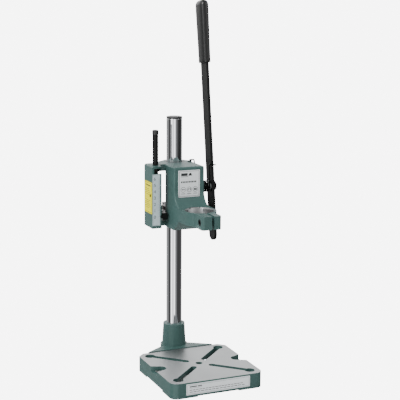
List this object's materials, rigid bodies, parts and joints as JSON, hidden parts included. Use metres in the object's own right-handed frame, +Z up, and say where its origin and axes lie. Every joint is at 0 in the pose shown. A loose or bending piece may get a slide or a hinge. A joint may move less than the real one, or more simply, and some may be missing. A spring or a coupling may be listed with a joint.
{
  "type": "drill stand",
  "caption": "Bench stand for a hand drill: slotted base, chromed column, spring-loaded carriage with a clamp collar, side lever, depth scale and stop rod.",
  "frame": {"origin": "axis of the table's centre hole, in the plane of the machined table", "axes": "+X to the right, +Y to the back where the column stands, +Z up"},
  "size_m": [0.15, 0.2102, 0.5803],
  "materials": {
    "green_paint": "satin",
    "silver_label": "satin",
    "scale_label": "satin",
    "yellow_label": "satin",
    "chromed_tube": "polished",
    "black_plastic": "matte",
    "grip_plastic": "satin",
    "black_steel": "satin",
    "zinc_plated_steel": "satin",
    "spring_steel": "satin"
  },
  "bodies": {
    "base": {"base_casting": "green_paint", "base_front_label": "silver_label", "column_grub_screws": "black_steel"},
    "column": {"column_tube": "chromed_tube", "column_cap": "black_plastic"},
    "clamp": {"clamp_block": "black_steel", "clamp_bolt": "black_steel", "clamp_nut": "zinc_plated_steel", "depth_pointer": "black_steel", "pointer_screws": "zinc_plated_steel", "link_pin": "zinc_plated_steel", "link_pin_clip": "black_steel"},
    "carriage": {"carriage_casting": "green_paint", "upper_guide_bush": "black_plastic", "lower_guide_bush": "black_plastic", "guide_set_screws": "black_steel", "collar_screw": "black_steel", "scale_plate": "scale_label", "name_plate": "silver_label", "side_label": "yellow_label", "stop_lock_screw": "black_steel", "depth_stop_nut": "black_steel", "pivot_bolt": "zinc_plated_steel", "pivot_spacer": "zinc_plated_steel", "pivot_washers": "zinc_plated_steel", "pivot_nut": "black_steel", "spring_anchor": "black_steel", "torsion_spring": "spring_steel"},
    "depth_stop": {"depth_stop_rod": "black_steel", "depth_stop_cap": "black_plastic"},
    "lever": {"lever_bar": "black_steel", "lever_grip": "grip_plastic", "lever_link_pin": "zinc_plated_steel", "lever_pin_clip": "black_steel"},
    "link": {"link_bar": "black_steel"}
  },
  "joints": [
    {"name": "column_swivel", "type": "hinge", "parent": "base", "child": "column", "pos_m": [0, 0.104, 0], "axis": [0, 0, 1], "continuous": true},
    {"name": "head_height", "type": "slide", "parent": "column", "child": "clamp", "axis": [0, 0, 1], "range_m": [-0.095, 0.055]},
    {"name": "carriage_stroke", "type": "slide", "parent": "clamp", "child": "carriage", "axis": [0, 0, -1], "range_m": [0, 0.06], "stiffness_N_per_m": 150, "springref_m": -0.2},
    {"name": "depth_stop_setting", "type": "slide", "parent": "carriage", "child": "depth_stop", "axis": [0, 0, 1], "range_m": [0, 0.012]},
    {"name": "lever_swing", "type": "hinge", "parent": "carriage", "child": "lever", "pos_m": [0.035, 0.06, 0.2677], "axis": [1, 0, 0], "range_deg": [-0.1, 73.1], "deforming": ["torsion_spring"]},
    {"name": "link_swing", "type": "hinge", "parent": "lever", "child": "link", "pos_m": [0.035, 0.05155, 0.2083], "axis": [1, 0, 0], "range_deg": [-17.1, 0.1]}
  ],
  "couplings": [
    {"joint": "lever_swing", "follows": "carriage_stroke", "rad_per_m": 21.235},
    {"joint": "link_swing", "follows": "carriage_stroke", "rad_per_m": -4.9451}
  ]
}
